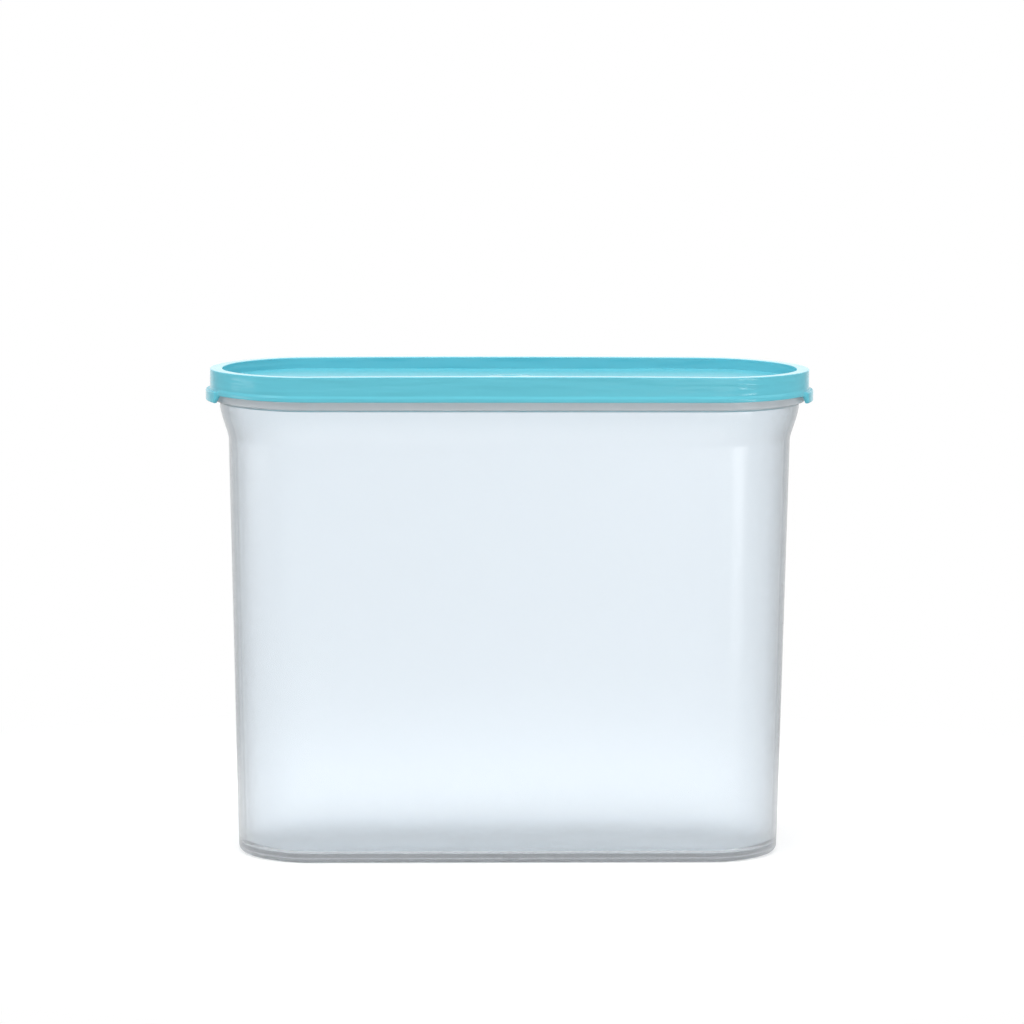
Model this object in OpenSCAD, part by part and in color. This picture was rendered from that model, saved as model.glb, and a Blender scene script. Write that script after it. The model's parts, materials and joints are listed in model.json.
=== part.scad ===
// Oval cereal container with a press-on lid.
// A thin moulded canister with a stepped rim, and a lid whose edge is an upside-down channel that drops
// over that rim. Both are one profile carried round the same plan: two straight sides, four corner arcs
// and two flatter end arcs, all tangent. The origin is the middle of the foot, on the table, and the
// front is -Y. Every profile is drawn as [half length, height], where it crosses the long axis.
// The plan is laid out on 3-4-5 triangles: an end arc meets a corner arc on the line that runs 3 along
// and 4 across, so that the pieces of the plan meet exactly.

/* [Plan] */
// Outside length of the container's rim band
rim_len = 260; // [220:1:300]
// Outside depth of the container's rim band
rim_dep = 101; // [92:1:110]
// Radius of the four corner arcs, on the rim band
corner_r = 34; // [30:1:40]

/* [Container] */
// Height from the table to the top edge of the rim
body_h = 213.5; // [120:0.5:260]
// Thickness of the walls
wall = 1.8; // [1.4:0.1:2.4]
// Outside length at the foot
foot_len = 238.4; // [232:0.2:242]
// Outward lean of the walls, in degrees
draft = 1.43; // [0.5:0.01:1.6]
// Radius of the outer edge of the foot
foot_r = 3.2; // [1.5:0.1:4]
// Width of the ring that the container stands on
foot_ring_w = 3.5; // [2.5:0.1:6]
// Height of the hollow under the floor
foot_hollow = 2; // [1:0.1:3]
// Radius where the floor meets the walls, inside
floor_fillet = 3.5; // [2:0.1:6]

/* [Shoulder and rim] */
// Height of the rim band, up to the top edge
band_h = 13; // [11:0.5:16]
// How far the rim band stands out from the shoulder
band_step = 2.4; // [1.6:0.1:3]
// Height of the flared shoulder under the band
flare_h = 16.5; // [12:0.5:24]
// How far the sealing bead stands out near the top of the band
seal_bead = 0.3; // [0.1:0.1:0.4]

/* [Lid] */
// Free space between the lid and the rim, on each side of the channel
clearance = 0.3; // [0.2:0.05:0.5]
// Thickness of the lid's skirt
skirt_t = 1.1; // [0.9:0.1:1.5]
// Thickness of the wall that plugs the mouth
plug_t = 1.3; // [1:0.1:1.8]
// Thickness of the lid above the rim
crest_t = 1.6; // [1.2:0.1:2.2]
// Thickness of the sunken panel
panel_t = 1.5; // [1.2:0.1:2]
// Depth of the sunken panel below the lid's top edge
recess_d = 5.4; // [4.5:0.1:6.5]
// How far the bead round the lower edge stands out
edge_bead = 0.5; // [0.3:0.1:1.2]
// Height of the bead round the lower edge
edge_bead_h = 2.2; // [1.8:0.1:3]
// Height of the lid, from its lower edge to its top edge
lid_h = 11.2; // [9.5:0.1:12]

/* [Lid tabs and boss] */
// Width of the thumb tab at each end
tab_w = 44; // [24:1:56]
// Height of the thumb tabs
tab_h = 4.8; // [4:0.1:7]
// Thickness of the thumb tabs
tab_t = 1.5; // [1.2:0.1:2]
// Diameter of the round boss in the middle of the panel
boss_d = 20; // [14:1:30]
// Height of the boss
boss_h = 1.2; // [1:0.1:2]
// Depth of the dish in the top of the boss
dish_d = 0.9; // [0.4:0.1:1.2]

/* [Hidden] */
$fn = 96;

container_colour = [0.86, 0.91, 0.95, 0.55];
lid_colour = "#69c0d1";

// Plan: the arcs' centres, and the directions from a centre to the ends of its arc. The two centres of
// an end and a corner are one 3-4-5 triangle apart, and so is the difference of their radii.
rim_half = rim_len / 2;
corner_cy = rim_dep / 2 - corner_r;
end_r = corner_r + corner_cy * 5 / 4;
end_cx = rim_half - end_r;
corner_cx = end_cx + corner_cy * 3 / 4;
meet_direction = [3, 4];
side_direction = [0, 4];
wedge_reach = 30;

// Container: heights and half lengths
foot_half = foot_len / 2;
band_z = body_h - band_h;
shoulder_z = band_z - 0.25 * band_step;
flare_z = shoulder_z - flare_h;
shoulder_half = rim_half - band_step;
wall_top_half = foot_half + (flare_z - foot_r) * tan(draft);
floor_z = foot_hollow + wall;
lip_r = 0.5;
arc_steps = 5;
flare_steps = 9;

// Lid: heights and half lengths
lid_top_z = body_h + crest_t;
lid_edge_z = lid_top_z - lid_h;
panel_z = lid_top_z - recess_d;
plug_half = rim_half - wall - clearance;
recess_half = plug_half - plug_t;
snap_half = rim_half + seal_bead + clearance;
skirt_in_half = snap_half + clearance;
skirt_half = skirt_in_half + skirt_t;
bead_half = skirt_half + edge_bead;
crest_out_r = 0.8;
crest_in_r = 0.7;
snap_bead_h = 1.6;
channel_fillet = 0.4;

// Tabs: they stand out past the lid's bead and hang below its edge
tab_half = bead_half + 1.4;
tab_top_z = lid_edge_z + edge_bead_h - 0.7;
tab_low_z = tab_top_z - tab_h;
tab_angle = asin(tab_w / 2 / (end_r + tab_half - rim_half));
tab_edge_r = 0.7;

// Points of an arc about [cx, cz] from angle a0 to a1
function arc(cx, cz, r, a0, a1, steps = arc_steps) =
    [for (i = [0:steps]) let (a = a0 + (a1 - a0) * i / steps) [cx + r * cos(a), cz + r * sin(a)]];

// Share of the flare's offset that is reached at share t of its height: upright at both ends, and fuller
// towards the band
function ease(t) = let (u = pow(t, 0.8)) u * u * (3 - 2 * u);

// The flared shoulder, from the wall up to the band, moved in by inset
function flare(inset) =
    [for (i = [0:flare_steps]) let (t = i / flare_steps)
        [wall_top_half + (shoulder_half - wall_top_half) * ease(t) - inset, flare_z + flare_h * t]];

function reversed(points) = [for (i = [len(points) - 1:-1:0]) points[i]];

// Half section of the container: from the underside of the floor out to the wall, up to the lip and
// down again to the floor inside
container_section = concat(
    [[foot_half - foot_r - foot_ring_w - 0.5, foot_hollow]],
    [[foot_half - foot_r - foot_ring_w, 0]],
    arc(foot_half - foot_r, foot_r, foot_r, -90, -draft),
    flare(0),
    arc(rim_half - lip_r, band_z + lip_r, lip_r, -60, 0, 3),
    [[rim_half, body_h - 3], [rim_half + seal_bead, body_h - 2.4], [rim_half + seal_bead, body_h - 1.2]],
    [[rim_half - lip_r, body_h]],
    arc(rim_half - wall + lip_r, body_h - lip_r, lip_r, 90, 180, 3),
    [[rim_half - wall, band_z + wall], [shoulder_half - wall, shoulder_z + wall]],
    reversed(flare(wall)),
    arc(foot_half - wall - floor_fillet, floor_z + floor_fillet, floor_fillet, -draft, -90)
);

// Half section of the lid: from the top of the panel out over the rim and back to the panel's underside
lid_section = concat(
    [[recess_half - 6, panel_z]],
    arc(recess_half - 1.4, panel_z + 1, 1, -90, -6, 3),
    arc(recess_half + crest_in_r, lid_top_z - crest_in_r, crest_in_r, 180, 90, 4),
    arc(skirt_half - crest_out_r, lid_top_z - crest_out_r, crest_out_r, 90, 0),
    [[skirt_half, lid_edge_z + edge_bead_h + 0.4]],
    arc(bead_half - 0.4, lid_edge_z + edge_bead_h - 0.4, 0.4, 60, 0, 3),
    arc(bead_half - 0.5, lid_edge_z + 0.5, 0.5, 0, -90, 3),
    [[snap_half + 0.6, lid_edge_z], [snap_half, lid_edge_z + 0.8]],
    [[snap_half, lid_edge_z + snap_bead_h], [skirt_in_half, lid_edge_z + snap_bead_h + 0.6]],
    arc(skirt_in_half - channel_fillet, body_h - channel_fillet, channel_fillet, 0, 90, 3),
    arc(plug_half + channel_fillet, body_h - channel_fillet, channel_fillet, 90, 180, 3),
    arc(plug_half - 0.7, panel_z - panel_t + 0.7, 0.7, 0, -90, 3)
);

// Section of a thumb tab, rooted in the lid's bead
tab_section = concat(
    [[skirt_half - 0.4, lid_edge_z + 0.4], [skirt_half - 0.4, tab_top_z]],
    arc(tab_half - tab_edge_r, tab_top_z - tab_edge_r, tab_edge_r, 90, 0, 3),
    arc(tab_half - tab_edge_r, tab_low_z + tab_edge_r, tab_edge_r, 0, -90, 3),
    [[tab_half - tab_t, tab_low_z + 0.3], [tab_half - tab_t, lid_edge_z + 0.4]]
);

// Half section of the boss: a flat ring with rounded shoulders round a shallow dish
boss_r = boss_d / 2;
dish_r = boss_r * 0.6;
dish_sphere_r = (dish_r * dish_r + dish_d * dish_d) / (2 * dish_d);
boss_section = concat(
    [[0, panel_z - 0.4], [boss_r, panel_z - 0.4], [boss_r, panel_z]],
    arc(boss_r - 0.8, panel_z + boss_h - 0.8, 0.8, 0, 90, 4),
    reversed(arc(0, panel_z + boss_h - dish_d + dish_sphere_r, dish_sphere_r,
        -90, -90 + asin(dish_r / dish_sphere_r), 6))
);

// Closes a half section by running both of its ends in to one half length
function closed(section, half) =
    concat([[half, section[0][1]]], section, [[half, section[len(section) - 1][1]]]);

// Turns a section about the axis of one arc of the plan, from one direction to another
module turned(section, cx, cy, r, from, to) {
    translate([cx, cy, 0])
        intersection() {
            rotate_extrude()
                translate([r - rim_half, 0])
                    polygon(closed(section, rim_half - r));
            translate([0, 0, -1])
                linear_extrude(lid_top_z + 2)
                    polygon([[0, 0], wedge_reach * from, wedge_reach * to]);
        }
}

// Draws a section out along one straight side
module straight_side(section) {
    translate([-corner_cx, 0, 0])
        rotate([90, 0, 90])
            linear_extrude(2 * corner_cx)
                translate([rim_dep / 2 - rim_half, 0])
                    polygon(closed(section, rim_half - corner_r));
}

// Plate between the arcs' centres, which closes the middle of the plan
module middle(z, t) {
    translate([0, 0, z])
        linear_extrude(t)
            polygon([
                [end_cx, 0], [corner_cx, corner_cy], [-corner_cx, corner_cy],
                [-end_cx, 0], [-corner_cx, -corner_cy], [corner_cx, -corner_cy]
            ]);
}

// Carries a section round the whole plan
module round_plan(section) {
    for (side = [0, 1])
        mirror([side, 0, 0]) {
            turned(section, end_cx, 0, end_r, [meet_direction[0], -meet_direction[1]], meet_direction);
            for (face = [0, 1])
                mirror([0, face, 0])
                    turned(section, corner_cx, corner_cy, corner_r, meet_direction, side_direction);
        }
    for (face = [0, 1])
        mirror([0, face, 0])
            straight_side(section);
}

module container() {
    color(container_colour) {
        round_plan(container_section);
        middle(foot_hollow, wall);
    }
}

module lid() {
    color(lid_colour)
        difference() {
            union() {
                round_plan(lid_section);
                middle(panel_z - panel_t, panel_t);
                for (side = [0, 1])
                    mirror([side, 0, 0])
                        thumb_tab();
                rotate_extrude()
                    polygon(boss_section);
            }
            // hollow under the boss, so that the plastic is of even thickness
            translate([0, 0, panel_z - panel_t - 1])
                cylinder(r = boss_r - 1.6, h = 1.8);
        }
}

module thumb_tab() {
    translate([end_cx, 0, 0])
        rotate([0, 0, -tab_angle])
            rotate_extrude(angle = 2 * tab_angle)
                translate([-end_cx, 0])
                    polygon(tab_section);
}

container();
lid();
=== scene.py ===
# %% [markdown]
# # A cereal container in two mouldings
# The real object is two injection-moulded pieces: a tall oval canister of frosted polypropylene and a
# press-on lid of coloured polyethylene. The frame holds both as plain solids at their real sizes. This
# lesson makes each one again as a finely rounded surface in the same place, gives it the plastic that it
# is made of, and lights it as a small product studio would.

import json

import bpy
import numpy as np
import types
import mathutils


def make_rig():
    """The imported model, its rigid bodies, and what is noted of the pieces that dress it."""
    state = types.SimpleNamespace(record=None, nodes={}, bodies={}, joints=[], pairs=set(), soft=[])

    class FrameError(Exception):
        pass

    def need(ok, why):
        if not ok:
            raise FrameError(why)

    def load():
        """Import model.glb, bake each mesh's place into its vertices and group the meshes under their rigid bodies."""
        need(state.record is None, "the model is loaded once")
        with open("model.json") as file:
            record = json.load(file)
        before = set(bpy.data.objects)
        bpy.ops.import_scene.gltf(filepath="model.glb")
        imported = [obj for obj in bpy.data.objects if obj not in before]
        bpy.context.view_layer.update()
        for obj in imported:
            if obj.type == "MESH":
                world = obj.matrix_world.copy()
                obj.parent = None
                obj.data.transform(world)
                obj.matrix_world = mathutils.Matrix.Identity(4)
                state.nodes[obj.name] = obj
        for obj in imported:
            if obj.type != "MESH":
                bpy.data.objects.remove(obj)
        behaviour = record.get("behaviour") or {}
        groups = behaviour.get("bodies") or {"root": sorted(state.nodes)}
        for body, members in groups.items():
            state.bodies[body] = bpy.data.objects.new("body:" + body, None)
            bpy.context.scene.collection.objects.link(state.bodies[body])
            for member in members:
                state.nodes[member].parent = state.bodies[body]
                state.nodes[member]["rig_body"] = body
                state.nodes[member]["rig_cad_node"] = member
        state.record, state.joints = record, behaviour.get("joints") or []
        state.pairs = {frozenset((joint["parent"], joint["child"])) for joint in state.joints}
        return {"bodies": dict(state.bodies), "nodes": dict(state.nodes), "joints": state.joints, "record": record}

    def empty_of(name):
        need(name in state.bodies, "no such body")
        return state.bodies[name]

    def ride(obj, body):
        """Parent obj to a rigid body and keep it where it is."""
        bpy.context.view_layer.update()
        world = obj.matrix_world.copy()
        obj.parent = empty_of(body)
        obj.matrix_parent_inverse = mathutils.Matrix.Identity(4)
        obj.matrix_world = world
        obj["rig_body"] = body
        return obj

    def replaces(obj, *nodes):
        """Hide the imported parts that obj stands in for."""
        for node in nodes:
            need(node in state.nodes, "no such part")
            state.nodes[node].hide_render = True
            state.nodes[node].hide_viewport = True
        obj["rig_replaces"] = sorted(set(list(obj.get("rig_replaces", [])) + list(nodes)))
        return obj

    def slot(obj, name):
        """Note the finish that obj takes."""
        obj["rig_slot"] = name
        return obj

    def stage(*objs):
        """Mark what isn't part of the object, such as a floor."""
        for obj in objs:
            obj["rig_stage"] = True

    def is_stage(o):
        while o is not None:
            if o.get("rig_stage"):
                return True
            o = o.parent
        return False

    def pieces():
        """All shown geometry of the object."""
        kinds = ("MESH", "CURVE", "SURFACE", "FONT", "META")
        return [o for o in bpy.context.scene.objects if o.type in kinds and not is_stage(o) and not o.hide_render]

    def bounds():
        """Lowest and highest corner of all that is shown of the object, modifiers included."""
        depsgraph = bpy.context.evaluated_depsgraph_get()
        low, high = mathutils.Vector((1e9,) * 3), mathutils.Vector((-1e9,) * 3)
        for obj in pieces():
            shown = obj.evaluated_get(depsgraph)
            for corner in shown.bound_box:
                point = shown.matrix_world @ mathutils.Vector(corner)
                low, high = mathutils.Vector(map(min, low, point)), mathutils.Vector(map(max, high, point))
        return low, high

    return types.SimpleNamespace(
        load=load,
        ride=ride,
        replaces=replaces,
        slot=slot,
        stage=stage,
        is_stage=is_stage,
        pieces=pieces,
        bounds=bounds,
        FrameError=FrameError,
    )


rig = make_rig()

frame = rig.load()
CAD_BOX = [list(corner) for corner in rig.bounds()]
print("box of the frame, in metres:", CAD_BOX)

# %% [markdown]
# ## Camera
# A product photo like this one is taken from a few metres away with a long lens, so that the upright
# sides stay nearly parallel. The camera stands a little to the left and looks slightly down, which shows
# the back third of the sunken lid panel. Its place is given by angles round a point inside the container.

# %% Camera
MM = 0.001
CAMERA_TARGET = np.array([1.2, 0.0, 150.6]) * MM
CAMERA_DISTANCE = 3100 * MM
CAMERA_ELEVATION = np.radians(6.252)
CAMERA_AZIMUTH = np.radians(2.272)
CAMERA_ROLL = np.radians(0.243)
SENSOR_WIDTH = 36.0
LENS = 246.9


def camera_axes(azimuth, elevation, roll):
    """Right, up and forward of a camera. Azimuth 0 looks along +Y, elevation looks down by that angle,
    and roll then turns right and up about forward."""
    forward = np.array([
        np.sin(azimuth) * np.cos(elevation),
        np.cos(azimuth) * np.cos(elevation),
        -np.sin(elevation),
    ])
    level = np.cross(forward, [0.0, 0.0, 1.0])
    level /= np.linalg.norm(level)
    upright = np.cross(level, forward)
    right = level * np.cos(roll) + upright * np.sin(roll)
    up = upright * np.cos(roll) - level * np.sin(roll)
    return right, up, forward


def make_camera():
    """A camera looks along its own -Z, so its matrix has right, up and backward as columns."""
    right, up, forward = camera_axes(CAMERA_AZIMUTH, CAMERA_ELEVATION, CAMERA_ROLL)
    camera = bpy.data.objects.new("camera", bpy.data.cameras.new("camera"))
    camera.data.sensor_width = SENSOR_WIDTH
    camera.data.lens = LENS
    camera.data.clip_end = 100
    matrix = np.eye(4)
    matrix[:3, 0], matrix[:3, 1], matrix[:3, 2] = right, up, -forward
    matrix[:3, 3] = CAMERA_TARGET - forward * CAMERA_DISTANCE
    camera.matrix_world = matrix.T.tolist()
    bpy.context.scene.collection.objects.link(camera)
    bpy.context.scene.camera = camera
    return camera


camera = make_camera()
print("camera stands at", [round(x, 3) for x in camera.matrix_world.translation])

# %% [markdown]
# ## Plan
# Seen from above, both pieces follow one outline: straight sides, a tighter arc at each corner and a
# flatter arc round each end. All the arcs are tangent. A mould maker draws such a part as one section
# carried round one path, and the mesh is made the same way. A station of the path knows the centre that
# it turns about, the direction straight out, and its radius on the rim band. A point at a given half
# length then lies on that direction, nearer in or further out than the band.

# %% Plan
RIM_LENGTH = 260.0
RIM_DEPTH = 101.0
CORNER_RADIUS = 34.0
RIM_HALF = RIM_LENGTH / 2
CORNER_Y = RIM_DEPTH / 2 - CORNER_RADIUS
END_RADIUS = CORNER_RADIUS + CORNER_Y * 5 / 4
END_X = RIM_HALF - END_RADIUS
CORNER_X = END_X + CORNER_Y * 3 / 4
MEET_ANGLE = np.arctan2(4, 3)

# Thumb tabs on the lid: their width and the length of their run-out are measured on an arc that lies
# TAB_REACH outside the rim band, which gives the angle that a tab takes to each side of the tip
TAB_WIDTH = 44.0
TAB_RUN_OUT = 2.5
TAB_REACH = 3.9
TAB_RADIUS = END_RADIUS + TAB_REACH
TAB_ANGLE = np.arcsin(TAB_WIDTH / 2 / TAB_RADIUS)

# Steps of the stations: an angle on the arcs, millimetres on the sides, and a count on a tab's run-out
ARC_STEP = np.radians(2.0)
SIDE_STEP = 4.0
RUN_OUT_STEPS = 8


def angles(start, stop):
    """Even angles from start up to, but not including, stop, no further apart than ARC_STEP."""
    count = int(np.ceil((stop - start) / ARC_STEP))
    return np.linspace(start, stop, count, endpoint=False)


def plan_stations():
    """Centre, outward direction and rim radius at each station, anticlockwise from +X as seen from above.
    One quarter is an end arc, a corner arc and half a side, and the others are its mirror images."""
    run_out = TAB_RUN_OUT / TAB_RADIUS
    end = np.concatenate([
        angles(0, TAB_ANGLE - run_out),
        np.linspace(TAB_ANGLE - run_out, TAB_ANGLE, RUN_OUT_STEPS, endpoint=False),
        angles(TAB_ANGLE, MEET_ANGLE),
    ])
    corner = angles(MEET_ANGLE, np.pi / 2)
    side_x = np.linspace(CORNER_X, 0, int(CORNER_X / SIDE_STEP), endpoint=False)
    turn = np.concatenate([end, corner, np.full(side_x.size, np.pi / 2)])
    centre_x = np.concatenate([np.full(end.size, END_X), np.full(corner.size, CORNER_X), side_x])
    centre_y = np.where(np.arange(turn.size) < end.size, 0.0, CORNER_Y)
    radius = np.where(np.arange(turn.size) < end.size, END_RADIUS, CORNER_RADIUS)
    quarter = np.stack([centre_x, centre_y, np.cos(turn), np.sin(turn), radius], axis=1)
    middle = np.array([[0.0, CORNER_Y, 0.0, 1.0, CORNER_RADIUS]])
    right_back = np.concatenate([quarter, middle])
    left_back = right_back[-2::-1] * [-1, 1, -1, 1, 1]
    back = np.concatenate([right_back, left_back])
    front = back[-2:0:-1] * [1, -1, 1, -1, 1]
    path = np.concatenate([back, front])
    return path[:, :2], path[:, 2:4], path[:, 4]


CENTRES, OUTWARD, RIM_RADII = plan_stations()
print("stations round the plan:", len(RIM_RADII))

# %% [markdown]
# ## Rounded sections
# A moulded part has no sharp edge: each corner of its section has a small radius, and those radii catch
# the light as thin bright lines. A section is written as its few corners, each with the length that its
# rounding takes from both edges. A rational quadratic curve turns that into an exact circular arc, and it
# still works where a corner is straight, which the mix between two sections further down relies on.

# %% Rounded sections
ARC_POINTS = 6


def rounded(corners, points=ARC_POINTS):
    """Points of an open section. Each row is a half length, a height and a setback. The corner becomes the
    curve (a (1-t)^2 + 2 w c t (1-t) + b t^2) / ((1-t)^2 + 2 w t (1-t) + t^2), where c is the corner, a and
    b lie one setback away along its two edges, and w is the sine of half the angle between the edges."""
    corners = np.array(corners, float)
    place, setback = corners[:, :2], corners[1:-1, 2, None]
    before = place[:-2] - place[1:-1]
    after = place[2:] - place[1:-1]
    before /= np.linalg.norm(before, axis=1, keepdims=True)
    after /= np.linalg.norm(after, axis=1, keepdims=True)
    cosine = np.clip(np.sum(before * after, axis=1), -1, 1)
    weight = np.sqrt((1 - cosine) / 2)[:, None, None]
    t = np.linspace(0, 1, points + 1)[None, :, None]
    corner = place[1:-1, None]
    a = corner + (before * setback)[:, None]
    b = corner + (after * setback)[:, None]
    curve = a * (1 - t) ** 2 + 2 * weight * corner * t * (1 - t) + b * t**2
    curve /= (1 - t) ** 2 + 2 * weight * t * (1 - t) + t**2
    return np.concatenate([place[:1], curve.reshape(-1, 2), place[-1:]])


# %% [markdown]
# ## One surface from a section
# The outer parts of each section follow the plan, and the middle of a floor or a panel is round, with its
# features turned about the container's own axis. So each piece is one grid: rings about the axis, then
# the section carried round the plan, then rings again, closed by a point at both ends. The section ends
# some way inside the edge of a floor or a panel, where the surface is flat and rings can take over.

# %% Points of the grid
def carried(section):
    """Points of a section at every station: centre + (half length - rim half + rim radius) * outward.
    A section of shape (rows, 2) is the same all round, and (rows, stations, 2) changes on the way."""
    section = np.asarray(section, float)
    if section.ndim == 2:
        section = np.repeat(section[:, None], len(RIM_RADII), axis=1)
    reach = section[..., 0] - RIM_HALF + RIM_RADII
    flat = CENTRES + reach[..., None] * OUTWARD
    return np.concatenate([flat, section[..., 1:]], axis=2)


def ringed(rings, edge):
    """Points of rings about the axis. A ring's point is its radius along the direction, from the axis, of
    the same station's point on the edge row, so that no two columns of the grid cross."""
    rings = np.asarray(rings, float)
    direction = edge[:, :2] / np.linalg.norm(edge[:, :2], axis=1, keepdims=True)
    flat = rings[:, 0, None, None] * direction
    height = np.broadcast_to(rings[:, 1, None, None], flat.shape[:2] + (1,))
    return np.concatenate([flat, height], axis=2)


print("a section of 2 points gives a grid of shape", carried([(RIM_HALF, 0), (RIM_HALF, 1)]).shape)

# %% [markdown]
# The grid becomes one mesh of quads, with a fan of triangles at each end. Smooth shading alone would let
# the small radii bend the light on the wide flat faces beside them. So each vertex gets a normal that is
# weighted by the area of the faces round it, and flat faces stay flat.

# %% Moulding
def moulding(name, under, section, over):
    """One closed surface: rings under the floor from the axis outwards, the section, and rings over the
    floor back to the axis. The first of under and the last of over are the points on the axis."""
    body = carried(section)
    under, over = np.asarray(under, float), np.asarray(over, float)
    grid = np.concatenate([ringed(under[1:], body[0]), body, ringed(over[:-1], body[-1])])
    rows, columns = grid.shape[:2]
    poles = [[0, 0, under[0, 1]], [0, 0, over[-1, 1]]]
    points = np.concatenate([grid.reshape(-1, 3), poles]) * MM

    index = np.arange(rows * columns).reshape(rows, columns)
    right = np.roll(index, -1, axis=1)
    quads = np.stack([index[:-1], right[:-1], right[1:], index[1:]], axis=-1).reshape(-1, 4)
    first, last = rows * columns, rows * columns + 1
    start = np.stack([right[0], index[0], np.full(columns, first)], axis=-1)
    finish = np.stack([index[-1], right[-1], np.full(columns, last)], axis=-1)

    mesh = bpy.data.meshes.new(name)
    mesh.from_pydata(points.tolist(), [], quads.tolist() + start.tolist() + finish.tolist())
    mesh.shade_smooth()
    mesh.normals_split_custom_set_from_vertices(area_normals(points, quads, start, finish).tolist())
    piece = bpy.data.objects.new(name, mesh)
    bpy.context.scene.collection.objects.link(piece)
    print(name, "has", len(mesh.vertices), "vertices and", len(mesh.polygons), "faces")
    return piece


def area_normals(points, quads, *triangles):
    """Normal of each vertex: the sum of the cross products of its faces' diagonals or edges, each of which
    is as long as twice the face's area."""
    total = np.zeros_like(points)
    cross = np.cross(points[quads[:, 2]] - points[quads[:, 0]], points[quads[:, 3]] - points[quads[:, 1]])
    np.add.at(total, quads, cross[:, None])
    for tris in triangles:
        cross = np.cross(points[tris[:, 1]] - points[tris[:, 0]], points[tris[:, 2]] - points[tris[:, 0]])
        np.add.at(total, tris, cross[:, None])
    return total / np.linalg.norm(total, axis=1, keepdims=True)


# %% [markdown]
# ## Container
# The canister stands on a narrow ring round a hollow floor. Its walls lean out by about a degree and a
# half, so that it leaves the mould, then flare to a stepped rim band with a fine sealing bead. The wall
# is a real one, with an inside and an outside, because light has to pass through both.

# %% Sizes of the container
# In millimetres. Heights are from the table, and a half length is where the section crosses the long axis
BODY_HEIGHT = 213.5
WALL = 1.8
FOOT_HALF = 119.2
FOOT_RADIUS = 3.2
FOOT_RING = 3.5
RING_LEAN = 0.3
FOOT_HOLLOW = 2.0
FLOOR_FILLET = 3.5
DRAFT = np.radians(1.43)
BAND_HEIGHT = 13.0
BAND_STEP = 2.4
# Rise of the step's underside, as a share of its width
STEP_SLOPE = 0.25
FLARE_HEIGHT = 16.5
SEAL_BEAD = 0.3
# The sealing bead, as depths under the top edge: its start, and the two ends of its full width
SEAL_START = 3.0
SEAL_LOW = 2.4
SEAL_HIGH = 1.0
LIP_CHAMFER = 0.5
# How far inside the edge of a floor or a panel the section ends
FLAT_MARGIN = 6.0
# The mark of the gate that the plastic came in by, in the middle of the floor's underside
GATE_RADIUS = 3.0
GATE_SLOPE = 0.5
GATE_DEPTH = 0.5

BAND_Z = BODY_HEIGHT - BAND_HEIGHT
SHOULDER_Z = BAND_Z - STEP_SLOPE * BAND_STEP
SHOULDER_HALF = RIM_HALF - BAND_STEP
FLARE_Z = SHOULDER_Z - FLARE_HEIGHT
WALL_TOP_HALF = FOOT_HALF + (FLARE_Z - FOOT_RADIUS) * np.tan(DRAFT)
FLOOR_Z = FOOT_HOLLOW + WALL
FOOT_Z0_HALF = FOOT_HALF - FOOT_RADIUS * np.tan(DRAFT)
RING_IN_HALF = FOOT_HALF - FOOT_RADIUS - FOOT_RING
print("the wall is", WALL, "mm thick, and the band starts at", BAND_Z, "mm")

# %% [markdown]
# The section of the container is drawn in three parts. The foot and the rim are straight runs with
# rounded corners, and the shoulder between them is a curve of its own, which is drawn once for the
# outside and once, moved in by the wall, for the inside.

# %% Container
FLARE_POWER = 0.8
FILLET_POINTS = 10


def flare(inset, points=24):
    """The shoulder's curve: the offset follows u * u * (3 - 2 u), where u is the share of the height to the
    power of FLARE_POWER. It is upright at both ends, and fuller towards the band."""
    t = np.linspace(0, 1, points)
    u = t**FLARE_POWER
    half = WALL_TOP_HALF + (SHOULDER_HALF - WALL_TOP_HALF) * u * u * (3 - 2 * u) - inset
    return np.stack([half, FLARE_Z + FLARE_HEIGHT * t], axis=1)


def container_section():
    """From the underside of the floor, out round the foot, up the outside and down the inside."""
    foot = rounded([
        (RING_IN_HALF - FLAT_MARGIN, FOOT_HOLLOW, 0),
        (RING_IN_HALF - RING_LEAN, FOOT_HOLLOW, 0.6),
        (RING_IN_HALF, 0, 0.4),
        (FOOT_Z0_HALF, 0, FOOT_RADIUS),
        (WALL_TOP_HALF, FLARE_Z, 0),
    ])
    rim = rounded([
        (SHOULDER_HALF, SHOULDER_Z, 0),
        (RIM_HALF, BAND_Z, 0.4),
        (RIM_HALF, BODY_HEIGHT - SEAL_START, 0.3),
        (RIM_HALF + SEAL_BEAD, BODY_HEIGHT - SEAL_LOW, 0.3),
        (RIM_HALF + SEAL_BEAD, BODY_HEIGHT - SEAL_HIGH, 0.5),
        (RIM_HALF - LIP_CHAMFER, BODY_HEIGHT, 0.4),
        (RIM_HALF - WALL, BODY_HEIGHT, 0.5),
        (RIM_HALF - WALL, BAND_Z + WALL, 0.6),
        (SHOULDER_HALF - WALL, SHOULDER_Z + WALL, 0.4),
        (SHOULDER_HALF - WALL, SHOULDER_Z, 0),
    ])
    inside = rounded([
        (WALL_TOP_HALF - WALL, FLARE_Z, 0),
        (FOOT_Z0_HALF - WALL + FLOOR_Z * np.tan(DRAFT), FLOOR_Z, FLOOR_FILLET),
        (RING_IN_HALF - FLAT_MARGIN, FLOOR_Z, 0),
    ], FILLET_POINTS)
    return np.concatenate([foot[:-1], flare(0)[:-1], rim[:-1], flare(WALL)[::-1][:-1], inside])


gate_top = FOOT_HOLLOW + GATE_DEPTH
container = moulding(
    "container_shell",
    [(0, gate_top), (GATE_RADIUS - GATE_SLOPE, gate_top), (GATE_RADIUS, FOOT_HOLLOW)],
    container_section(),
    [(GATE_RADIUS, FLOOR_Z), (0, FLOOR_Z)],
)
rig.ride(container, "container")
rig.replaces(container, "container")
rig.slot(container, "container")

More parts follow.
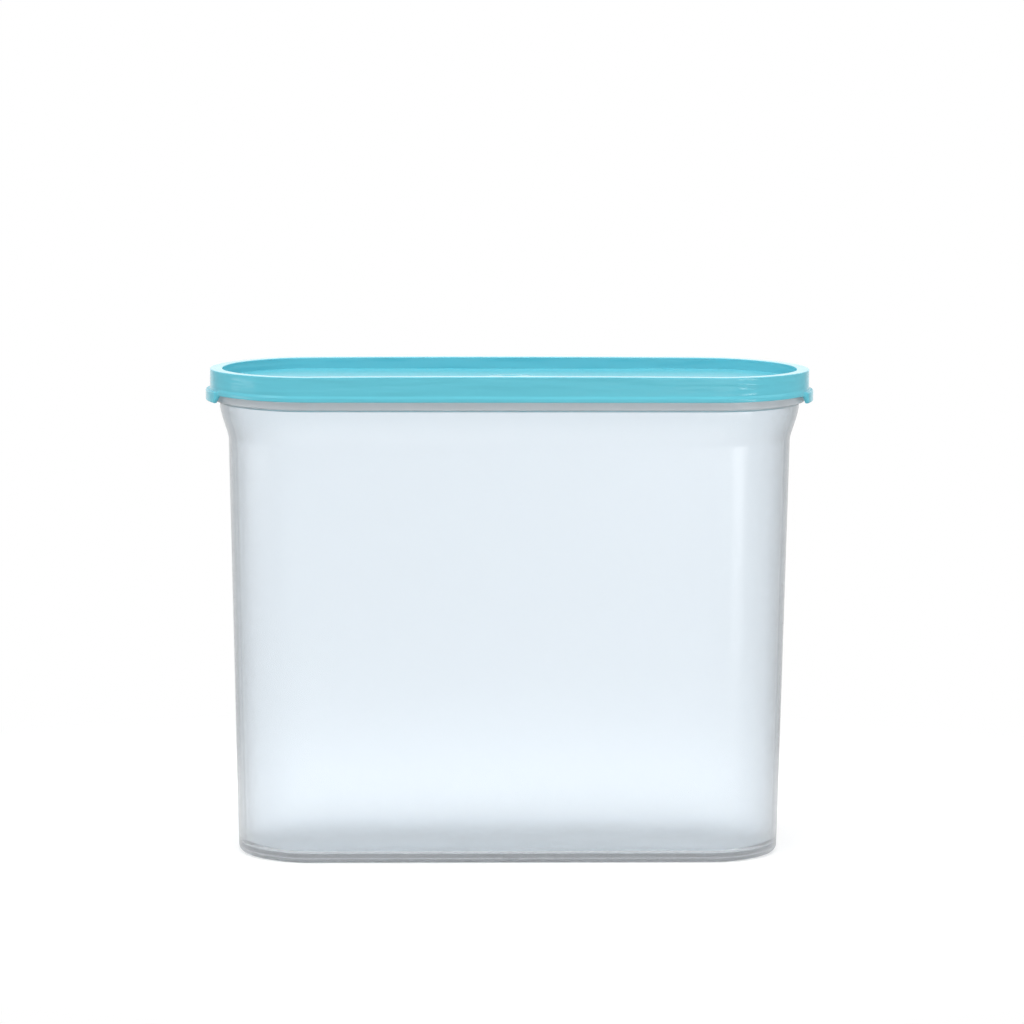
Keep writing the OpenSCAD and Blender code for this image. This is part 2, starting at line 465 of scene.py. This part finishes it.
# %% [markdown]
# ## Lid
# The lid is a sunken panel inside a raised crest. The crest is an upside-down channel: its inner wall
# plugs the mouth, its skirt comes down outside the rim, and a bead stiffens the skirt's edge. Inside the
# skirt a second bead snaps under the container's sealing bead. Here both keep a little clear of the rim,
# because the real plastic gives way and a solid doesn't.

# %% Sizes of the lid
# In millimetres, as for the container
CLEARANCE = 0.3
SKIRT = 1.1
PLUG = 1.3
CREST = 1.6
PANEL = 1.5
LID_HEIGHT = 11.2
RECESS_DEPTH = 5.4
CREST_DIP = 0.7
# The bead round the lower edge: how far it stands out, its height, and half the height of its top's slope
EDGE_BEAD = 0.5
EDGE_BEAD_HEIGHT = 2.2
EDGE_SLOPE = 0.5
# A thumb tab: how far it stands out past the bead, how far its top lies below the bead's, and its own size
TAB_OUT = 1.37
TAB_DROP = 0.7
TAB_HEIGHT = 4.8
TAB_THICKNESS = 1.5
TAB_SLOPE = 0.1
TAB_LEAN = 0.1
# Two points in the plain edge's flat underside, as distances in from the bead's face. On a tab they become
# the foot and the root of its inner side.
PLAIN_FOOT = 0.72
PLAIN_ROOT = 1.05
# The snap bead inside the skirt, as heights over the lid's lower edge, and the width of its lead-in
SNAP_RAMP = 2.2
SNAP_TOP = 1.5
SNAP_LOW = 0.7
SNAP_LEAD = 0.5
# The recess leans in by these from the top edge to the panel
LEAN_TOP = 0.05
LEAN_FOOT = 0.45

LID_TOP = BODY_HEIGHT + CREST
LID_EDGE = LID_TOP - LID_HEIGHT
PANEL_TOP = LID_TOP - RECESS_DEPTH
PANEL_UNDER = PANEL_TOP - PANEL
PLUG_HALF = RIM_HALF - WALL - CLEARANCE
RECESS_HALF = PLUG_HALF - PLUG
SNAP_HALF = RIM_HALF + SEAL_BEAD + CLEARANCE
SKIRT_IN_HALF = SNAP_HALF + CLEARANCE
SKIRT_HALF = SKIRT_IN_HALF + SKIRT
BEAD_HALF = SKIRT_HALF + EDGE_BEAD
TAB_HALF = BEAD_HALF + TAB_OUT
TAB_TOP = LID_EDGE + EDGE_BEAD_HEIGHT - TAB_DROP
TAB_LOW = TAB_TOP - TAB_HEIGHT
print("the lid's crest is at", LID_TOP, "mm, and its lower edge at", round(LID_EDGE, 3), "mm")

# %% [markdown]
# At both ends the bead grows into a thumb tab that hangs lower. A second shape joined to the first would
# leave a seam, so the section is drawn twice with the same number of points, once for the plain edge and
# once for the tab, and each station takes a mix of the two.

# %% Section of the lid
def lid_section(edge_half, edge_top, edge_low, edge_slope, lip_in, lip_root):
    """From the underside of the panel, up into the channel, down inside the skirt, round the lower edge,
    up the outside and over the crest to the panel's top. The arguments place the lower edge: its outer
    half length, its top and bottom, half the height of the slope under its top, and the inner half length
    and the root of what hangs below it."""
    return rounded([
        (RECESS_HALF - FLAT_MARGIN, PANEL_UNDER, 0),
        (PLUG_HALF, PANEL_UNDER, 0.9),
        (PLUG_HALF, BODY_HEIGHT, 0.4),
        (SKIRT_IN_HALF, BODY_HEIGHT, 0.4),
        (SKIRT_IN_HALF, LID_EDGE + SNAP_RAMP, 0.2),
        (SNAP_HALF, LID_EDGE + SNAP_TOP, 0.2),
        (SNAP_HALF, LID_EDGE + SNAP_LOW, 0.2),
        (SNAP_HALF + SNAP_LEAD, LID_EDGE, 0.2),
        (lip_root, LID_EDGE, 0.1),
        (lip_in, edge_low, 0.2),
        (edge_half, edge_low, 0.5),
        (edge_half, edge_top - edge_slope, 0.4),
        (SKIRT_HALF, edge_top + edge_slope, 0.25),
        (SKIRT_HALF, LID_TOP, 0.5),
        (RECESS_HALF + LEAN_TOP, LID_TOP, 0.5),
        (RECESS_HALF - LEAN_FOOT, PANEL_TOP, 0.4),
        (RECESS_HALF - FLAT_MARGIN, PANEL_TOP, 0),
    ])


def tab_share():
    """Share of the tab section at each station: 1 inside the tab's angle, and 0 past its run-out, with
    t * t * (3 - 2 t) between them."""
    angle = np.arccos(np.clip(np.abs(OUTWARD[:, 0]), 0, 1))
    t = np.clip((TAB_ANGLE - angle) * TAB_RADIUS / TAB_RUN_OUT, 0, 1)
    return t * t * (3 - 2 * t)


def dipped(section):
    """The crest's top falls towards the tips, by CREST_DIP times the square of the distance along the lid.
    Only what lies above the channel moves, by its share of the crest's thickness."""
    along = (carried(section)[..., 0] / SKIRT_HALF) ** 2
    above = np.clip((section[..., 1] - BODY_HEIGHT) / CREST, 0, 1)
    section = section.copy()
    section[..., 1] -= CREST_DIP * along * above
    return section


bead_top = LID_EDGE + EDGE_BEAD_HEIGHT
tab_in = TAB_HALF - TAB_THICKNESS
plain_foot, plain_root = BEAD_HALF - PLAIN_FOOT, BEAD_HALF - PLAIN_ROOT
plain_edge = lid_section(BEAD_HALF, bead_top, LID_EDGE, EDGE_SLOPE, plain_foot, plain_root)
tab_edge = lid_section(TAB_HALF, TAB_TOP, TAB_LOW, TAB_SLOPE, tab_in, tab_in - TAB_LEAN)
share = tab_share()[None, :, None]
print("stations that have the whole tab section:", int((share == 1).sum()))

# %% [markdown]
# ## Boss
# A round boss sits in the middle of the panel, where the mould is fed. Its top is dished, which hides the
# gate, and its underside is hollow, so that it is no thicker than the panel and doesn't sink as it cools.
# The dish is the parabola h = top - depth * (1 - (r / radius) ^ 2).

# %% Lid
BOSS_RADIUS = 10.0
BOSS_HEIGHT = 1.2
BOSS_WALL = 1.6
BOSS_HOLLOW = 0.8
DISH_RADIUS = 0.6 * BOSS_RADIUS
DISH_ROUNDING = 0.3
DISH_DEPTH = 0.9

boss_top = PANEL_TOP + BOSS_HEIGHT
dish_radius = np.linspace(DISH_RADIUS - DISH_ROUNDING, 0, 10)
dish_height = boss_top - DISH_DEPTH * (1 - (dish_radius / DISH_RADIUS) ** 2)
dish = np.stack([dish_radius, dish_height], axis=1)
boss = rounded([
    (BOSS_RADIUS + 1, PANEL_TOP, 0),
    (BOSS_RADIUS, PANEL_TOP, 0.3),
    (BOSS_RADIUS, boss_top, 0.7),
    (DISH_RADIUS, boss_top, DISH_ROUNDING),
    tuple(dish[0]) + (0,),
])
boss_hollow = rounded([
    (0, PANEL_UNDER + BOSS_HOLLOW, 0),
    (BOSS_RADIUS - BOSS_WALL, PANEL_UNDER + BOSS_HOLLOW, 0.3),
    (BOSS_RADIUS - BOSS_WALL, PANEL_UNDER, 0.2),
    (BOSS_RADIUS, PANEL_UNDER, 0),
])
lid = moulding(
    "press_on_lid",
    boss_hollow,
    dipped(plain_edge[:, None] * (1 - share) + tab_edge[:, None] * share),
    np.concatenate([boss[:-1], dish]),
)
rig.ride(lid, "lid")
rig.replaces(lid, "lid")
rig.slot(lid, "lid")

# %% [markdown]
# ## Small helpers for materials
# Colours are written as they look on a screen, in hex, and Blender works in linear light, so one function
# converts them. Another adds a node, sets it and links it, which keeps each material to a few lines.

# %% Helpers for materials
def linear(hex_colour):
    """Linear RGBA of an sRGB hex colour: c / 12.92 below 0.04045, and ((c + 0.055) / 1.055) ^ 2.4 above."""
    c = np.array([int(hex_colour[i:i + 2], 16) for i in (1, 3, 5)]) / 255
    c = np.where(c <= 0.04045, c / 12.92, ((c + 0.055) / 1.055) ** 2.4)
    return (*c.tolist(), 1.0)


def node(tree, kind, settings=None, **inputs):
    """Adds a node. Settings are its own properties, and inputs are values or sockets to link, by name with
    spaces written as underscores, or by place as i0, i1 and so on."""
    made = tree.nodes.new(kind)
    for key, value in (settings or {}).items():
        setattr(made, key, value)
    for key, value in inputs.items():
        place = int(key[1:]) if key[0] == "i" and key[1:].isdigit() else key.replace("_", " ")
        if isinstance(value, bpy.types.NodeSocket):
            tree.links.new(value, made.inputs[place])
        else:
            made.inputs[place].default_value = value
    return made


def empty_material(name):
    """A material whose tree holds nothing but the output."""
    material = bpy.data.materials.new(name)
    material.use_nodes = True
    material.node_tree.nodes.clear()
    output = material.node_tree.nodes.new("ShaderNodeOutputMaterial")
    return material, material.node_tree, output


print("#808080 in linear light:", [round(c, 4) for c in linear("#808080")])

# %% [markdown]
# ## Frosted polypropylene
# The canister is injection-moulded polypropylene without colour. Crystals in the plastic scatter light,
# so what stands behind it is softly blurred, and the wall itself looks a little milky and bluish. Rough
# transmission gives the blur, a thin absorbing volume greys the long way through an edge, and a share of
# milk gives the haze. The milk is half translucent, which passes light on, and half diffuse, which sends
# it back. It is a trace in the wall, and far more in the thick rim and foot, where the plastic cools
# slowly and its crystals grow larger.

# %% Frosted polypropylene
# In millimetres: the spacing of the low waves that shrinkage leaves in a wall, and the width of the
# crystals' haze, which is drawn far coarser than real crystals so that it shows at all
SHRINK_WAVE = 55.0
HAZE_GRAIN = 0.8
# Share of milk in the thin wall, in the thick rim and in the thick foot
WALL_MILK = 0.006
RIM_MILK = 0.65
FOOT_MILK = 0.18
# Heights between which that share changes
RIM_FADE = (BAND_Z - 0.6, BAND_Z + 0.2)
FOOT_FADE = (FLOOR_Z + 0.5, FLOOR_Z - 0.5)


def frosted_polypropylene():
    material, tree, output = empty_material("frosted_polypropylene")
    place = node(tree, "ShaderNodeTexCoord").outputs["Object"]
    waves = node(
        tree, "ShaderNodeTexNoise",
        Vector=place, Scale=1 / (SHRINK_WAVE * MM), Detail=1.0, Roughness=0.4,
    )
    haze = node(tree, "ShaderNodeTexNoise", Vector=place, Scale=1 / (HAZE_GRAIN * MM), Detail=2.0)
    low = node(tree, "ShaderNodeBump", Height=waves.outputs[0], Strength=0.15, Distance=0.4 * MM)
    fine = node(
        tree, "ShaderNodeBump",
        Height=haze.outputs[0], Normal=low.outputs[0], Strength=0.1, Distance=0.05 * MM,
    )
    wall = node(
        tree, "ShaderNodeBsdfPrincipled",
        Base_Color=linear("#f6fbff"), Roughness=0.25, IOR=1.49, Transmission_Weight=1.0,
        Normal=fine.outputs[0],
    )
    onwards = node(tree, "ShaderNodeBsdfTranslucent", Color=linear("#f2f2f2"), Normal=fine.outputs[0])
    back = node(tree, "ShaderNodeBsdfDiffuse", Color=linear("#f2f1f3"), Normal=fine.outputs[0])
    milk = node(tree, "ShaderNodeMixShader", Fac=0.5, i1=onwards.outputs[0], i2=back.outputs[0])
    height = node(tree, "ShaderNodeSeparateXYZ", Vector=place).outputs["Z"]
    rim = node(
        tree, "ShaderNodeMapRange",
        Value=height, From_Min=RIM_FADE[0] * MM, From_Max=RIM_FADE[1] * MM,
        To_Min=WALL_MILK, To_Max=RIM_MILK,
    )
    foot = node(
        tree, "ShaderNodeMapRange",
        Value=height, From_Min=FOOT_FADE[0] * MM, From_Max=FOOT_FADE[1] * MM,
        To_Min=WALL_MILK, To_Max=FOOT_MILK,
    )
    share = node(tree, "ShaderNodeMath", {"operation": "MAXIMUM"}, i0=rim.outputs[0], i1=foot.outputs[0])
    mixed = node(tree, "ShaderNodeMixShader", Fac=share.outputs[0], i1=wall.outputs[0], i2=milk.outputs[0])
    tree.links.new(mixed.outputs[0], output.inputs["Surface"])
    depth = node(tree, "ShaderNodeVolumeAbsorption", Color=linear("#7d8288"), Density=7.0)
    tree.links.new(depth.outputs[0], output.inputs["Volume"])
    return material


container.data.materials.append(frosted_polypropylene())
print("container is made of", container.data.materials[0].name)

# %% [markdown]
# ## Coloured polyethylene
# The lid is softer, waxy polyethylene. It is opaque turquoise, half glossy on the crest and the skirt, and
# its panel has a fine moulded grain that hides scratches. A thin skirt also shrinks unevenly as it cools,
# so low waves run along it and break the reflection of a lamp into level streaks. Both are bumps on the
# surface: a cell pattern for the grain, and noise that is stretched along the skirt for the waves.

# %% Coloured polyethylene
# In millimetres: the width of the panel's grain, which is coarser than a real one so that it shows, and
# the spacing of the skirt's waves, which are longer along the skirt by 1 / WAVE_STRETCH
GRAIN_WIDTH = 1.6
WAVE_SPACING = 3.6
WAVE_STRETCH = 0.1
# The panel is what lies no higher than PANEL_REACH with a normal whose Z is over PANEL_LEVEL
PANEL_REACH = PANEL_TOP + 0.1
PANEL_LEVEL = 0.99
SKIRT_ROUGHNESS = 0.14
PANEL_ROUGHNESS = 0.32


def coloured_polyethylene():
    material, tree, output = empty_material("coloured_polyethylene")
    place = node(tree, "ShaderNodeTexCoord").outputs["Object"]
    height = node(tree, "ShaderNodeSeparateXYZ", Vector=place).outputs["Z"]
    normal = node(tree, "ShaderNodeNewGeometry").outputs["Normal"]
    facing = node(tree, "ShaderNodeSeparateXYZ", Vector=normal)
    level = node(
        tree, "ShaderNodeMath", {"operation": "GREATER_THAN"},
        i0=facing.outputs["Z"], i1=PANEL_LEVEL,
    )
    low_down = node(
        tree, "ShaderNodeMath", {"operation": "LESS_THAN"},
        i0=height, i1=PANEL_REACH * MM,
    )
    on_panel = node(
        tree, "ShaderNodeMath", {"operation": "MULTIPLY"},
        i0=level.outputs[0], i1=low_down.outputs[0],
    )
    grain = node(
        tree, "ShaderNodeTexVoronoi", {"feature": "SMOOTH_F1"},
        Vector=place, Scale=1 / (GRAIN_WIDTH * MM),
    )
    grain_height = node(
        tree, "ShaderNodeMath", {"operation": "MULTIPLY"},
        i0=grain.outputs[0], i1=on_panel.outputs[0],
    )
    along = node(tree, "ShaderNodeMapping", Vector=place, Scale=(WAVE_STRETCH, WAVE_STRETCH, 1.0))
    waves = node(
        tree, "ShaderNodeTexNoise",
        Vector=along.outputs[0], Scale=1 / (WAVE_SPACING * MM), Detail=1.0,
    )
    low = node(tree, "ShaderNodeBump", Height=waves.outputs[0], Strength=1.0, Distance=0.5 * MM)
    bump = node(
        tree, "ShaderNodeBump",
        Height=grain_height.outputs[0], Normal=low.outputs[0], Strength=1.0, Distance=0.4 * MM,
    )
    polish = node(
        tree, "ShaderNodeMapRange",
        Value=on_panel.outputs[0], To_Min=SKIRT_ROUGHNESS, To_Max=PANEL_ROUGHNESS,
    )
    plastic = node(
        tree, "ShaderNodeBsdfPrincipled",
        Base_Color=linear("#65c0d1"), Roughness=polish.outputs[0], IOR=1.51, Specular_IOR_Level=0.2,
        Normal=bump.outputs[0],
    )
    tree.links.new(plastic.outputs[0], output.inputs["Surface"])
    return material


lid.data.materials.append(coloured_polyethylene())
print("lid is made of", lid.data.materials[0].name)

# %% [markdown]
# ## Studio
# Round the studio is a white world. The camera, reflections and light through the plastic see that white,
# while the light that the world itself gives stays at a plain level, so that pale surfaces don't clip. A
# white backdrop stands behind the object only, so reflections from the other sides see a grey room.

# %% World
WORLD_LIGHT = 0.58
# White that a reflection sees at the sides, and the cosines of the angle from +Y between which it changes
SIDE_WHITE = 0.5
BACKDROP_EDGE = 0.95
SIDE_EDGE = 0.75


def seen_directly(tree):
    """1 for camera, glossy and transmission rays, and 0 for the rays that carry light."""
    rays = node(tree, "ShaderNodeLightPath")
    glossy = node(
        tree, "ShaderNodeMath", {"operation": "MAXIMUM"},
        i0=rays.outputs["Is Camera Ray"], i1=rays.outputs["Is Glossy Ray"],
    )
    return node(
        tree, "ShaderNodeMath", {"operation": "MAXIMUM"},
        i0=glossy.outputs[0], i1=rays.outputs["Is Transmission Ray"],
    ).outputs[0]


def white_strength(tree, place):
    """1, except that a glossy reflection sees less white away from the backdrop behind the object: its
    strength is 1 + (SIDE_WHITE - 1) * side, where side is 0 up to 18 degrees from +Y and 1 past 41 degrees.
    The place is a point of the studio, and its direction from the object is what counts."""
    rays = node(tree, "ShaderNodeLightPath")
    direction = node(tree, "ShaderNodeVectorMath", {"operation": "NORMALIZE"}, i0=place)
    backwards = node(tree, "ShaderNodeSeparateXYZ", Vector=direction.outputs["Vector"])
    side = node(
        tree, "ShaderNodeMapRange", {"interpolation_type": "SMOOTHSTEP"},
        Value=backwards.outputs["Y"], From_Min=BACKDROP_EDGE, From_Max=SIDE_EDGE,
        To_Min=0.0, To_Max=SIDE_WHITE - 1,
    )
    reflected = node(
        tree, "ShaderNodeMath", {"operation": "MULTIPLY"},
        i0=rays.outputs["Is Glossy Ray"], i1=rays.outputs["Is Reflection Ray"],
    )
    return node(
        tree, "ShaderNodeMath", {"operation": "MULTIPLY_ADD"},
        i0=side.outputs[0], i1=reflected.outputs[0], i2=1.0,
    ).outputs[0]


def white_world():
    world = bpy.data.worlds.new("studio")
    world.use_nodes = True
    tree = world.node_tree
    tree.nodes.clear()
    place = node(tree, "ShaderNodeTexCoord").outputs["Generated"]
    light = node(tree, "ShaderNodeBackground", Color=linear("#ffffff"), Strength=WORLD_LIGHT)
    strength = white_strength(tree, place)
    white = node(tree, "ShaderNodeBackground", Color=linear("#ffffff"), Strength=strength)
    direct = seen_directly(tree)
    mixed = node(tree, "ShaderNodeMixShader", Fac=direct, i1=light.outputs[0], i2=white.outputs[0])
    output = node(tree, "ShaderNodeOutputWorld")
    tree.links.new(mixed.outputs[0], output.inputs["Surface"])
    bpy.context.scene.world = world
    return world


world = white_world()
print("world", world.name, "has", len(world.node_tree.nodes), "nodes")

# %% [markdown]
# ## Floor
# The object stands on a pale floor. Round the object it is an ordinary matt surface that takes the shadow,
# with a glow that lights nothing and only keeps it pale in the picture. Further out it turns into the same
# white as the world, so that no horizon shows.

# %% Floor
# In metres: the side of the floor, its gap under the foot, and the distances between which it turns white
FLOOR_SIZE = 60.0
FLOOR_CLEARANCE = 0.05 * MM
SHADOW_CORE = 0.2
SHADOW_REACH = 0.45
FLOOR_GLOW = 0.46


def pale_floor():
    material, tree, output = empty_material("pale_floor")
    place = node(tree, "ShaderNodeTexCoord").outputs["Object"]
    distance = node(tree, "ShaderNodeVectorMath", {"operation": "LENGTH"}, i0=place)
    far = node(
        tree, "ShaderNodeMapRange", {"interpolation_type": "SMOOTHSTEP"},
        Value=distance.outputs["Value"], From_Min=SHADOW_CORE, From_Max=SHADOW_REACH,
    )
    matt = node(tree, "ShaderNodeBsdfDiffuse", Color=linear("#d8d8d8"))
    glow = node(tree, "ShaderNodeEmission", Color=linear("#ffffff"), Strength=FLOOR_GLOW)
    near = node(tree, "ShaderNodeAddShader", i0=matt.outputs[0], i1=glow.outputs[0])
    strength = white_strength(tree, place)
    white = node(tree, "ShaderNodeEmission", Color=linear("#ffffff"), Strength=strength)
    shown = node(tree, "ShaderNodeMixShader", Fac=far.outputs[0], i1=near.outputs[0], i2=white.outputs[0])
    direct = seen_directly(tree)
    mixed = node(tree, "ShaderNodeMixShader", Fac=direct, i1=matt.outputs[0], i2=shown.outputs[0])
    tree.links.new(mixed.outputs[0], output.inputs["Surface"])
    return material


def make_floor():
    mesh = bpy.data.meshes.new("floor")
    half = FLOOR_SIZE / 2
    corners = [(-half, -half), (half, -half), (half, half), (-half, half)]
    mesh.from_pydata([(x, y, -FLOOR_CLEARANCE) for x, y in corners], [], [(0, 1, 2, 3)])
    floor = bpy.data.objects.new("floor", mesh)
    floor.data.materials.append(pale_floor())
    bpy.context.scene.collection.objects.link(floor)
    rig.stage(floor)


make_floor()
print("the floor shows its shadow within", SHADOW_REACH, "m of the object")

# %% [markdown]
# ## Lamps
# A broad box overhead, one fill on each side and a wide strip in front light the object evenly. Three low
# boxes make the soft patches on the lid's skirt, and a strip behind the object draws the bright line
# along the crest. Places and sizes are in metres, and powers in watts.

# %% Lamps
AT_BODY = (0, 0, 0.1)
AT_SHOULDER = (0, 0, 0.14)
AT_LID = (0, 0, 0.2)


def soft_box(name, place, aim, width, height, power):
    """A rectangular lamp at a place, turned so that it faces the aim."""
    lamp = bpy.data.objects.new(name, bpy.data.lights.new(name, "AREA"))
    lamp.data.shape = "RECTANGLE"
    lamp.data.size, lamp.data.size_y, lamp.data.energy = width, height, power
    back = np.array(place, float) - np.array(aim, float)
    back /= np.linalg.norm(back)
    right = np.cross([0.0, 0.0, 1.0], back)
    right /= np.linalg.norm(right)
    matrix = np.eye(4)
    matrix[:3, 0], matrix[:3, 1], matrix[:3, 2], matrix[:3, 3] = right, np.cross(back, right), back, place
    lamp.matrix_world = matrix.T.tolist()
    bpy.context.scene.collection.objects.link(lamp)


soft_box("top_box", (0.0, -0.3, 1.3), AT_BODY, 1.0, 0.6, 8.8)
soft_box("left_fill", (-1.1, -0.5, 0.9), AT_BODY, 0.8, 0.5, 4.2)
soft_box("right_fill", (1.15, -0.1, 0.8), AT_BODY, 0.8, 0.5, 1.8)
soft_box("front_strip", (0.0, -2.6, 0.47), AT_LID, 2.0, 0.22, 1.2)
soft_box("left_box", (-1.3, 0.1, 0.095), AT_SHOULDER, 0.66, 0.1, 0.65)
soft_box("right_box", (1.0, -0.82, 0.08), AT_SHOULDER, 0.56, 0.1, 1.9)
soft_box("front_box", (0.44, -1.22, 0.09), AT_SHOULDER, 0.66, 0.16, 0.9)
soft_box("back_strip", (0.06, 1.5, 0.4), AT_LID, 0.9, 0.35, 0.25)
bpy.context.scene.view_settings.view_transform = "Standard"
print("lamps:", [thing.name for thing in bpy.context.scene.objects if thing.type == "LIGHT"])

# %% [markdown]
# ## Size
# The finished pieces have to stay inside the box of the frame, so both boxes are written down side by
# side.

# %% Finish
json.dump(
    {"cad": CAD_BOX, "visual": [list(corner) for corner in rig.bounds()]},
    open("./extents.json", "w"),
)
print(open("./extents.json").read())
